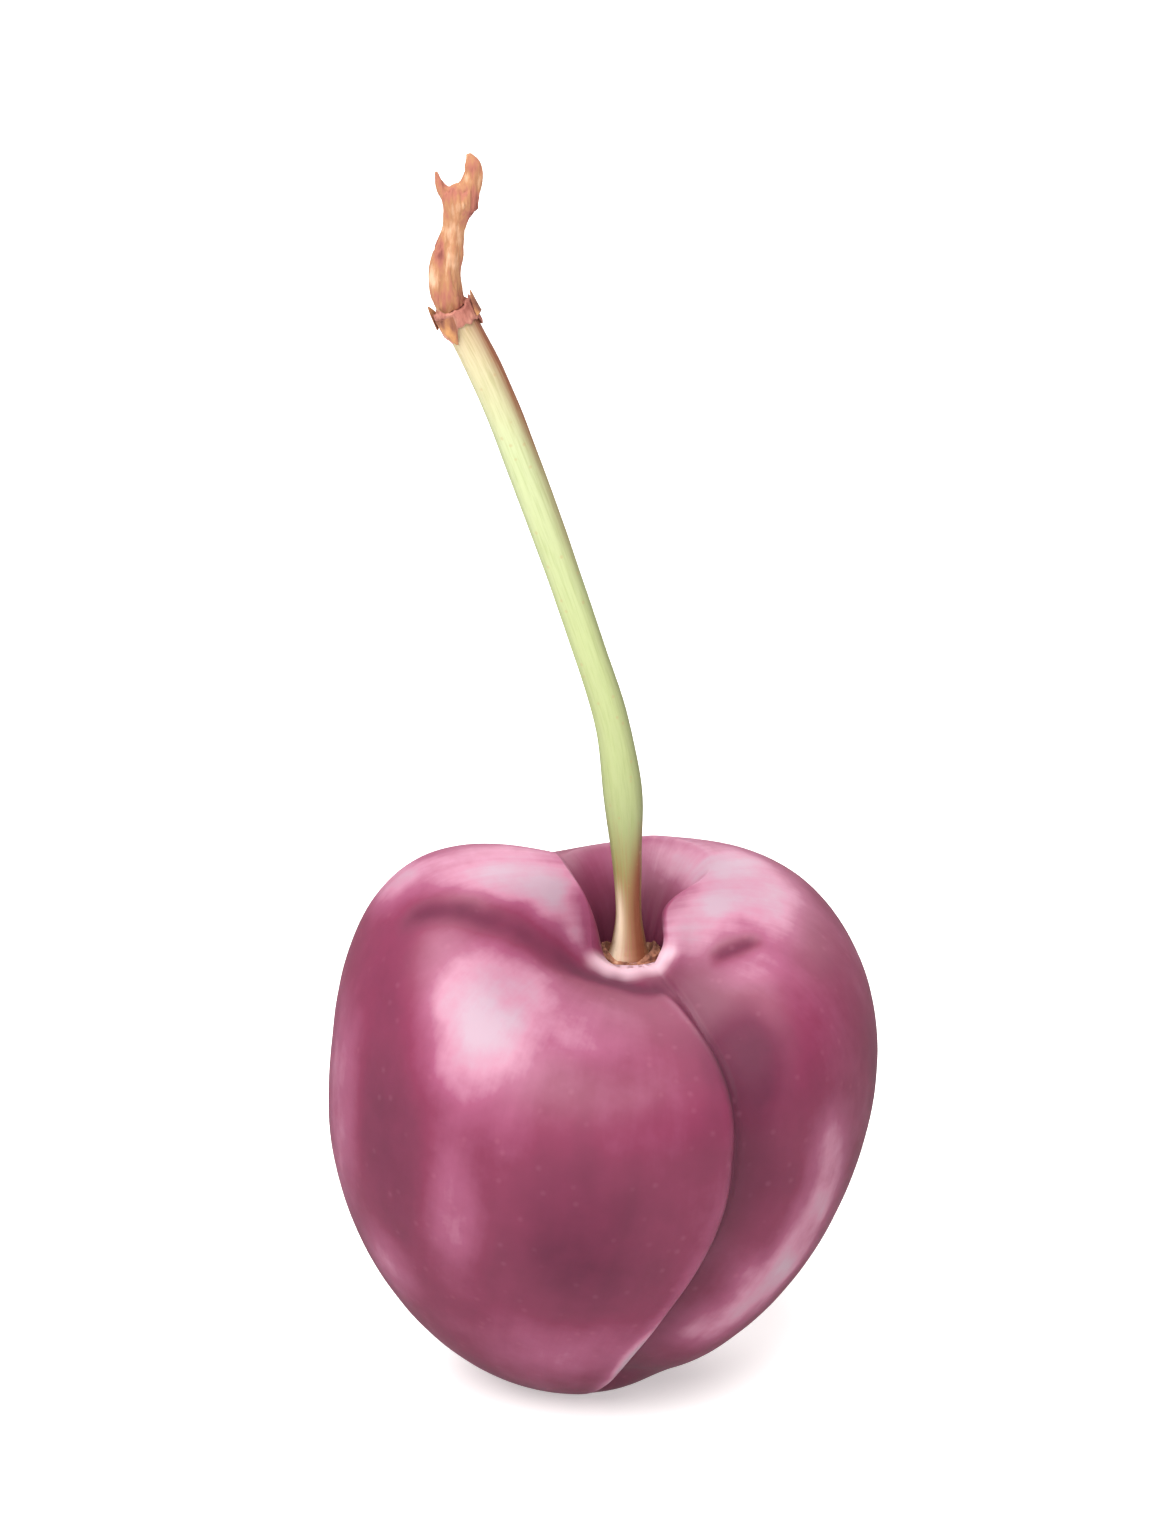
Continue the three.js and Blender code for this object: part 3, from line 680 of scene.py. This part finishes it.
# The stem's broken end. Heights here count along the stem's line, from its end.
lineSteps = 400
linePoints = [stemLine(i / lineSteps)[0](0, 0, 0) for i in range(lineSteps + 1)]
lineLengths = [0]
for before, after in zip(linePoints, linePoints[1:]):
    lineLengths.append(lineLengths[-1] + (after - before).length)


@lru_cache(maxsize=4096)
def endFrame(height):
    if height >= 0:
        return stemLine(1)[0]
    target = lineLengths[-1] + height
    i = max(k for k in range(lineSteps) if lineLengths[k] <= target)
    within = (target - lineLengths[i]) / (lineLengths[i + 1] - lineLengths[i])
    return stemLine((i + within) / lineSteps)[0]


def atEnd(radius, angle, height):
    return endFrame(round(min(height, 0), 3))(radius, angle, max(height, 0))


sleeve = {
    "bore": 0.88, "radius": 1.02, "floor": 0.12, "gap": 0.02,
    "hem": -0.8, "rim": 0.3, "wrinkle": 0.035,
    "columns": 160, "rows": 80,
}


def sleevePoint(angle, along):
    bore, radius, gap, floor = (sleeve[key] for key in ("bore", "radius", "gap", "floor"))
    hem = sleeve["hem"] - 0.3 * sin(2 * angle + 0.5) - 0.1 * sin(5 * angle) - 0.05 * sin(13 * angle + 1)
    rim = sleeve["rim"] + 0.12 * sin(3 * angle + 2) + 0.06 * sin(8 * angle) + 0.03 * sin(17 * angle)
    profile = [(0, gap), (bore, gap), (bore, hem), (bore + 0.05, hem - 0.06), (radius - 0.02, 0.9 * hem),
               (radius, -0.2), (radius - 0.02, 0.7 * rim), (radius - 0.08, rim), (radius - 0.16, 0.8 * rim),
               (radius - 0.2, floor), (0, floor)]
    last = len(profile) - 1
    part = min(int(along * last), last - 1)
    (r0, h0), (r1, h1) = profile[part], profile[part + 1]
    r, h = mix(r0, r1, along * last - part), mix(h0, h1, along * last - part)
    waves = 0.5 + 0.3 * sin(19 * angle + 3 * h) + 0.2 * sin(31 * angle - 2 * h)
    return atEnd(r - sleeve["wrinkle"] * ease(r, bore + 0.02, radius) * waves, angle, h)


def makeSleeve(material):
    bm = rollGrid(sleeve["columns"], sleeve["rows"], sleevePoint)[0]
    finishPiece(bm, "stem_sleeve", material, "dry_scale", "stem_collar")


# Dry pointed scales against the sleeve
scaleShape = {
    "thickFoot": 0.16, "thickTip": 0.05, "clear": 0.03, "tipWidth": 0.12, "flatMiddle": 0.4, "ridges": 0.18,
    "columns": 36, "rows": 40,
}
scales = [
    {"turn": -118, "foot": 0.1, "tip": -1.3, "width": 0.85, "flare": -0.1},
    {"turn": -12, "foot": -0.5, "tip": 0.7, "width": 0.6, "flare": 0.1},
    {"turn": 160, "foot": -0.5, "tip": 0.6, "width": 0.7, "flare": 0.08},
]


def makeScale(number, scale, material):
    s = scaleShape

    def scalePoint(angle, along):
        half = (0.5 * scale["width"] * (1 - along * along) + s["tipWidth"] / 2) / sleeve["radius"]
        inner = sleeve["radius"] + s["clear"] + scale["flare"] * along * along
        thick = mix(s["thickFoot"], s["thickTip"], along)
        bulge = 0.5 * sin(angle) * (1 - s["flatMiddle"] * sin(angle) ** 2)
        ridges = 1 - s["ridges"] * (1 - cos(7 * angle + 4 * along))
        radius = inner + thick * (0.5 + bulge * (ridges if sin(angle) > 0 else 1))
        turn = radians(scale["turn"]) + half * cos(angle)
        return atEnd(radius, turn, mix(scale["foot"], scale["tip"], along))

    bm = rollGrid(s["columns"], s["rows"], scalePoint)[0]
    finishPiece(bm, f"dry_scale_{number}", material, "dry_scale", f"bud_scale_{number}")


# The strip of spur bark that came off with the stem, with a short prong on its left
bark = {
    "strip": [(-8.5, 2.34, 32.3, 0.78), (-8.62, 2.36, 33.4, 0.76), (-8.4, 2.38, 34.5, 0.72),
              (-8.2, 2.4, 35.5, 0.56), (-8.04, 2.4, 36.3, 0.68), (-7.82, 2.4, 37, 0.88),
              (-7.44, 2.4, 37.6, 0.58), (-7.24, 2.4, 38.3, 0.46), (-7.3, 2.4, 38.8, 0.38),
              (-7.48, 2.4, 39.25, 0.14)],
    "rootRadius": 0.72,
    "prong": [(-8.04, 2.4, 36.5, 0.5), (-8.42, 2.4, 37.1, 0.42), (-8.8, 2.38, 37.7, 0.24),
              (-8.98, 2.36, 38.4, 0.1)],
    "prongStart": (-0.5, 0, 0.86),
    "stripGrid": (48, 130), "prongGrid": (28, 40), "inset": 0.01, "voxel": 0.05,
    # the lengthwise fibres: their depth, their contrast, the grain of the coarse and the fine ones, how much
    # longer than wide they are, and how far below the tip they fade
    "fibre": 0.075, "contrast": 2.2, "coarse": (1, 0.32), "fine": (0.5, 0.15), "stretch": 7,
    "fade": (-0.9, -0.2),
}


def makeBark(material):
    root = atEnd(0, 0, sleeve["floor"]) - seat
    endHeading = (stemLine(1)[0](0, 0, 1) - stemLine(1)[0](0, 0, 0)).normalized()
    stripLine = makeLine([(*root, bark["rootRadius"]), *bark["strip"]], endHeading)
    prongLine = makeLine(bark["prong"], Vector(bark["prongStart"]))

    def stripPoint(angle, along):
        place, radius = stripLine(along)
        lobes = 0.87 + 0.13 * cos(2 * angle) + 0.05 * sin(5 * angle + 4 * along)
        return place(radius * lobes - bark["inset"], angle, 0)

    def prongPoint(angle, along):
        place, radius = prongLine(along)
        return place(radius - bark["inset"], angle, 0)

    joined = bmesh.new()
    for point, grid in ((stripPoint, bark["stripGrid"]), (prongPoint, bark["prongGrid"])):
        part = bpy.data.meshes.new("part")
        bm = rollGrid(*grid, point)[0]
        bm.to_mesh(part)
        bm.free()
        joined.from_mesh(part)
        bpy.data.meshes.remove(part)
    mesh = bpy.data.meshes.new("barkBlank")
    joined.to_mesh(mesh)
    joined.free()
    blank = bpy.data.objects.new("barkBlank", mesh)
    bpy.context.scene.collection.objects.link(blank)
    remesh = blank.modifiers.new("join", "REMESH")
    remesh.mode, remesh.voxel_size = "VOXEL", bark["voxel"]
    whole = bpy.data.meshes.new_from_object(blank.evaluated_get(bpy.context.evaluated_depsgraph_get()))
    bpy.data.objects.remove(blank)
    bm = bmesh.new()
    bm.from_mesh(whole)
    bmesh.ops.smooth_vert(bm, verts=bm.verts, factor=0.5, use_axis_x=True, use_axis_y=True, use_axis_z=True)
    bm.normal_update()
    tip = seat.z + bark["strip"][-1][2]
    for v in bm.verts:
        at = Vector((v.co.x, v.co.y, v.co.z / bark["stretch"]))
        fibre = abs(uneven(at, *bark["coarse"])) + abs(uneven(at, *bark["fine"]))
        groove = 1 - min(bark["contrast"] * fibre, 1)
        v.co -= v.normal * bark["fibre"] * groove * (1 - ease(v.co.z - tip, *bark["fade"]))
    finishPiece(bm, "bark_strip", material, "spur_bark", "spur_bark")


def dryMatter(name, colors, roughness):
    # Dead dry plant tissue: matt, with fibres and flecks. The grain is about 0.5 mm across and drawn out
    # lengthwise, over patches of about 1.6 mm.
    material, shader = startMaterial(name, {"IOR": 1.4, "Specular IOR Level": 0.3})
    place = addNode(material, "ShaderNodeTexCoord")
    drawn = addNode(material, "ShaderNodeMapping", {"Scale": (1, 1, 0.22)},
                    {"Vector": place.outputs["Object"]})
    fibres = addNode(material, "ShaderNodeTexNoise", {"Scale": perMetre(0.5), "Detail": 6, "Roughness": 0.65},
                     {"Vector": drawn.outputs["Vector"]})
    patches = addNode(material, "ShaderNodeTexNoise", {"Scale": perMetre(1.6), "Detail": 2},
                      {"Vector": place.outputs["Object"]})
    blend = addNode(material, "ShaderNodeMath", {"operation": "MULTIPLY_ADD", 1: 0.9},
                    {0: patches.outputs["Fac"], 2: fibres.outputs["Fac"]})
    share = addNode(material, "ShaderNodeMapRange", {1: 0.7, 2: 1.2}, {0: blend.outputs[0]})
    color = addNode(material, "ShaderNodeValToRGB", {"stops": colors}, {"Fac": share.outputs[0]})
    dull = addNode(material, "ShaderNodeMapRange", {3: roughness, 4: roughness + 0.2},
                   {0: fibres.outputs["Fac"]})
    bump = addNode(material, "ShaderNodeBump", {"Strength": 0.6, "Distance": 0.04 * mm},
                   {"Height": fibres.outputs["Fac"]})
    wire = material.node_tree.links.new
    wire(color.outputs["Color"], shader.inputs["Base Color"])
    wire(dull.outputs[0], shader.inputs["Roughness"])
    wire(bump.outputs["Normal"], shader.inputs["Normal"])
    return material


# Colours from the deepest grain to the palest, and the least roughness
dryParts = {
    "cork": ("crumbled cork", [(0.0, "#5b382c"), (0.5, "#93634c"), (1.0, "#cca88c")], 0.75),
    "sleeve": ("papery sleeve", [(0.0, "#7d453c"), (0.5, "#a0675a"), (1.0, "#c3927c")], 0.6),
    "scale": ("papery bud scale", [(0.0, "#553029"), (0.5, "#855440"), (1.0, "#b98655")], 0.55),
    "bark": ("torn spur bark", [(0.0, "#75403a"), (0.3, "#9a5f50"), (0.6, "#a27351"), (1.0, "#c6a084")], 0.6),
}
makeFootCork(dryMatter(*dryParts["cork"]))
makeSleeve(dryMatter(*dryParts["sleeve"]))
paperScale = dryMatter(*dryParts["scale"])
for number, scale in enumerate(scales, start=1):
    makeScale(number, scale, paperScale)
makeBark(dryMatter(*dryParts["bark"]))


# The studio: camera, floor and light
studio = {
    "elevation": 22, "lens": 400, "frameHeight": 72, "aim": (0, 0, 30.6),
    "floorRadius": 1600, "floor": "#ebe9e7",
    "glow": 0.45,  # the board shines a little by itself, so the shadow stays light
    "sky": [(0.0, "#a09e9d"), (0.25, "#b5b3b2"), (0.6, "#a3a1a0"), (1.0, "#8f8d8c")],  # horizon to overhead
    "skyStrength": 1.1,
    "lampAim": (0, 0, 14),
}

# For each lamp, the direction to it, its distance and size in millimetres, and its power in watts
lamps = {
    "window": {"towards": (-0.235, -0.41, 0.87), "distance": 600, "shape": "ELLIPSE", "size": (800, 800),
               "power": 9.3},
    "backPanel": {"towards": (0.2, 0.78, 0.6), "distance": 800, "shape": "RECTANGLE", "size": (900, 500),
                  "power": 4.5},
}


def makeStudio():
    e = radians(studio["elevation"])
    back = Vector((0, -cos(e), sin(e)))
    camera = bpy.data.objects.new("camera", bpy.data.cameras.new("camera"))
    camera.data.lens = studio["lens"]
    distance = studio["lens"] / camera.data.sensor_width * studio["frameHeight"]
    camera.location = (Vector(studio["aim"]) + back * distance) * mm
    camera.rotation_euler = (-back).to_track_quat("-Z", "Y").to_euler()
    camera.data.clip_start, camera.data.clip_end = 0.01, 10
    bpy.context.scene.collection.objects.link(camera)
    bpy.context.scene.camera = camera

    for name, lamp in lamps.items():
        light = bpy.data.lights.new(name, "AREA")
        light.shape = lamp["shape"]
        light.size, light.size_y = (side * mm for side in lamp["size"])
        light.energy = lamp["power"]
        towards = Vector(lamp["towards"]).normalized()
        holder = bpy.data.objects.new(name, light)
        holder.location = (Vector(studio["lampAim"]) + towards * lamp["distance"]) * mm
        holder.rotation_euler = towards.to_track_quat("Z", "Y").to_euler()
        holder.visible_camera = False
        bpy.context.scene.collection.objects.link(holder)

    world = bpy.data.worlds.new("pale studio")
    world.use_nodes = True
    bpy.context.scene.world = world
    around = addNode(world, "ShaderNodeTexCoord")
    parts = addNode(world, "ShaderNodeSeparateXYZ", links={0: around.outputs["Generated"]})
    sky = addNode(world, "ShaderNodeValToRGB", {"stops": studio["sky"]}, {0: parts.outputs["Z"]})
    background = world.node_tree.nodes["Background"]
    background.inputs["Strength"].default_value = studio["skyStrength"]
    world.node_tree.links.new(sky.outputs["Color"], background.inputs["Color"])

    bm = bmesh.new()
    bmesh.ops.create_circle(bm, cap_ends=True, segments=96, radius=studio["floorRadius"] * mm)
    mesh = bpy.data.meshes.new("floor")
    bm.to_mesh(mesh)
    bm.free()
    matte, shader = startMaterial("matte white board", {
        "Base Color": hexColor(studio["floor"]), "Roughness": 0.9, "Specular IOR Level": 0.1,
        "Emission Color": hexColor("#ffffff"), "Emission Strength": studio["glow"]})
    mesh.materials.append(matte)
    ground = bpy.data.objects.new("floor", mesh)
    bpy.context.scene.collection.objects.link(ground)
    ground.visible_glossy = False  # the waxy skin mirrors the soft light alone, and not the board
    bpy.context.scene.view_settings.view_transform = "Standard"
    print("studio ready")


makeStudio()
